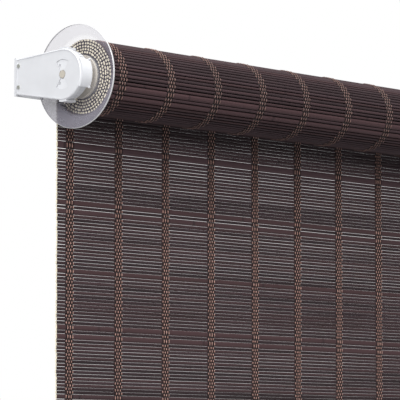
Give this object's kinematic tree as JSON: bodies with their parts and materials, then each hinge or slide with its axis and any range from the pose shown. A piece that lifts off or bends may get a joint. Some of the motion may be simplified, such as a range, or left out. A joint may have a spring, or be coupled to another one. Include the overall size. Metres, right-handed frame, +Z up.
{
  "type": "bamboo roll up blind",
  "caption": "Dark stained bamboo roll up blind: a woven slat sheet on a spring roller with clear end discs, held by white wall brackets.",
  "frame": {"origin": "middle of the left bracket's wall plate, on the wall", "axes": "+X along the roll towards the right bracket, +Y into the wall, +Z up"},
  "size_m": [0.6407, 0.103, 0.728],
  "materials": {
    "white_plastic": "smooth white moulding with a soft sheen",
    "housing_plastic": "white moulding, fine ribs",
    "white_steel": "white powder coat",
    "screw_steel": "plain zinc",
    "clear_plastic": "clear sheet with a milky haze and polished edge",
    "cap_plastic": "dark brown moulding",
    "nylon": "unpainted nylon",
    "spring_steel": "oiled wire",
    "tube_aluminium": "mill finish",
    "bamboo": "dark espresso stain over split bamboo, raw tan at the cut ends",
    "rail_wood": "dark espresso stain"
  },
  "bodies": {
    "root": {"left_arm": "white_plastic", "left_wall_angle": "white_steel", "left_arm_screws": "screw_steel", "left_housing": "housing_plastic", "right_arm": "white_plastic", "right_wall_angle": "white_steel", "right_arm_screws": "screw_steel", "right_housing": "housing_plastic", "spindle": "nylon", "brake_core": "nylon", "spring_shaft": "spring_steel", "torsion_spring": "spring_steel", "shaft_clip": "spring_steel", "upper_curtain": "bamboo"},
    "roller": {"left_disc": "clear_plastic", "right_disc": "clear_plastic", "left_disc_ring": "housing_plastic", "right_disc_ring": "housing_plastic", "left_plug": "housing_plastic", "right_plug": "housing_plastic", "brake_spring": "spring_steel", "spring_carrier": "nylon", "idle_spring": "spring_steel", "idle_spring_cap": "nylon", "roller_tube": "tube_aluminium", "sheet_strip": "cap_plastic", "wound_roll": "bamboo"},
    "idle_pin": {"idle_pin": "nylon"},
    "curtain_lift": {"lower_curtain": "bamboo", "bottom_rail": "rail_wood", "left_rail_cap": "cap_plastic", "right_rail_cap": "cap_plastic"}
  },
  "joints": [
    {"name": "roller_spin", "type": "hinge", "parent": "root", "child": "roller", "pos_m": [0, -0.058, -0.0025], "axis": [1, 0, 0], "range_deg": [0, 1080]},
    {"name": "curtain_raise", "type": "slide", "parent": "root", "child": "curtain_lift", "axis": [0, 0, 1], "range_m": [0, 0.5844], "deforming": ["upper_curtain"]},
    {"name": "idle_pin_slide", "type": "slide", "parent": "roller", "child": "idle_pin", "axis": [-1, 0, 0], "range_m": [0, 0.012], "stiffness_N_per_m": 300, "springref_m": -0.006, "deforming": ["idle_spring"]}
  ],
  "couplings": [
    {"joint": "curtain_raise", "follows": "roller_spin", "m_per_rad": 0.031}
  ]
}
